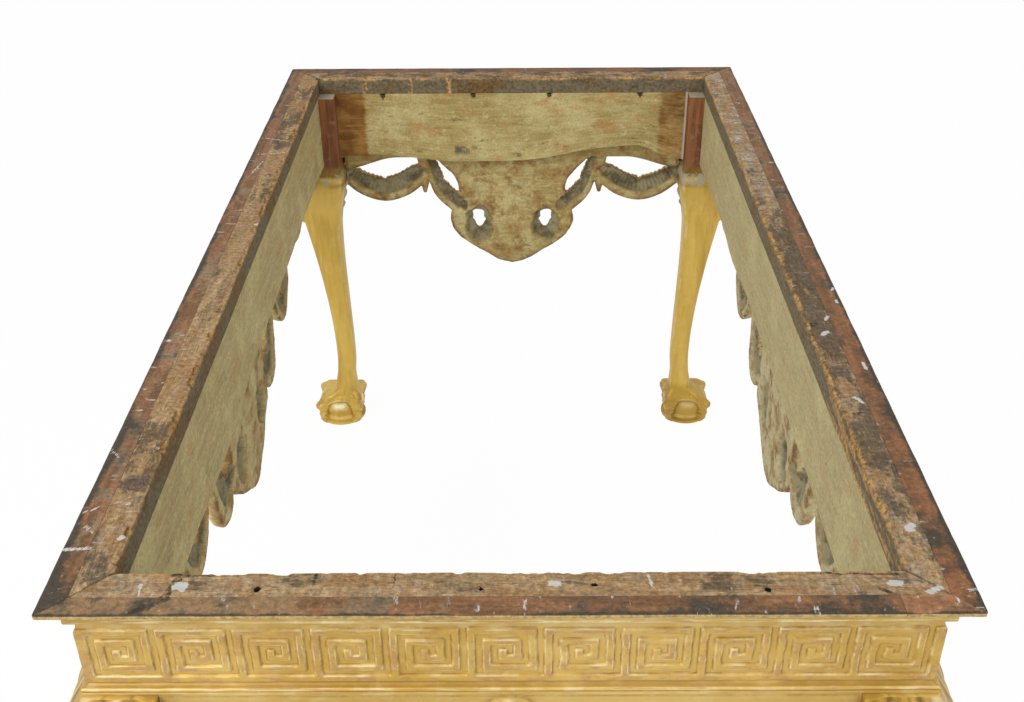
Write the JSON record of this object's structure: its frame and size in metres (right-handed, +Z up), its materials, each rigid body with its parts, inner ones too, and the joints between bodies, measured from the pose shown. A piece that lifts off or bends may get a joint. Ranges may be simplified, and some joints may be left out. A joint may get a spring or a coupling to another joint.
{
  "type": "giltwood centre table base",
  "caption": "Carved giltwood centre table base without its slab: cabriole claw-and-ball legs, pierced festoon aprons, a key-fret frieze and a mitred pine seat for a loose top.",
  "frame": {"origin": "on the floor, under the middle of the table", "axes": "+Z is up, +Y runs along the table's length away from the viewer of the picture, +X is to that viewer's right; the short side called front faces -Y"},
  "size_m": [0.9134, 1.5848, 0.812],
  "materials": {
    "gilding": "worn gilding over gesso and red-brown bole on carved pine",
    "red_brown_pine": "old red-brown stained pine, grey with dirt at its outer edge",
    "weathered_pine": "bare weathered pine, scratched and splintered",
    "painted_pine": "thin greenish-ochre wash on sawn pine",
    "screw_steel": "old dark iron screw"
  },
  "bodies": {
    "root": {"leg_front_left": "gilding", "leg_front_right": "gilding", "leg_back_right": "gilding", "leg_back_left": "gilding", "rail_front": "painted_pine", "rail_right": "painted_pine", "rail_back": "painted_pine", "rail_left": "painted_pine", "apron_front": "gilding", "apron_right": "gilding", "apron_back": "gilding", "apron_left": "gilding", "top_board_front": "weathered_pine", "top_board_right": "weathered_pine", "top_board_back": "weathered_pine", "top_board_left": "weathered_pine", "edge_strip_front": "red_brown_pine", "edge_strip_right": "red_brown_pine", "edge_strip_back": "red_brown_pine", "edge_strip_left": "red_brown_pine", "edge_strip_patch": "red_brown_pine", "cornice_mould_front": "gilding", "cornice_mould_right": "gilding", "cornice_mould_back": "gilding", "cornice_mould_left": "gilding", "fret_frieze_front": "gilding", "fret_frieze_right": "gilding", "fret_frieze_back": "gilding", "fret_frieze_left": "gilding", "base_mould_front": "gilding", "base_mould_right": "gilding", "base_mould_back": "gilding", "base_mould_left": "gilding", "pocket_screw_front_1": "screw_steel", "pocket_screw_front_2": "screw_steel", "pocket_screw_front_3": "screw_steel", "pocket_screw_front_4": "screw_steel", "pocket_screw_back_1": "screw_steel", "pocket_screw_back_2": "screw_steel", "pocket_screw_back_3": "screw_steel", "pocket_screw_back_4": "screw_steel"}
  },
  "joints": []
}
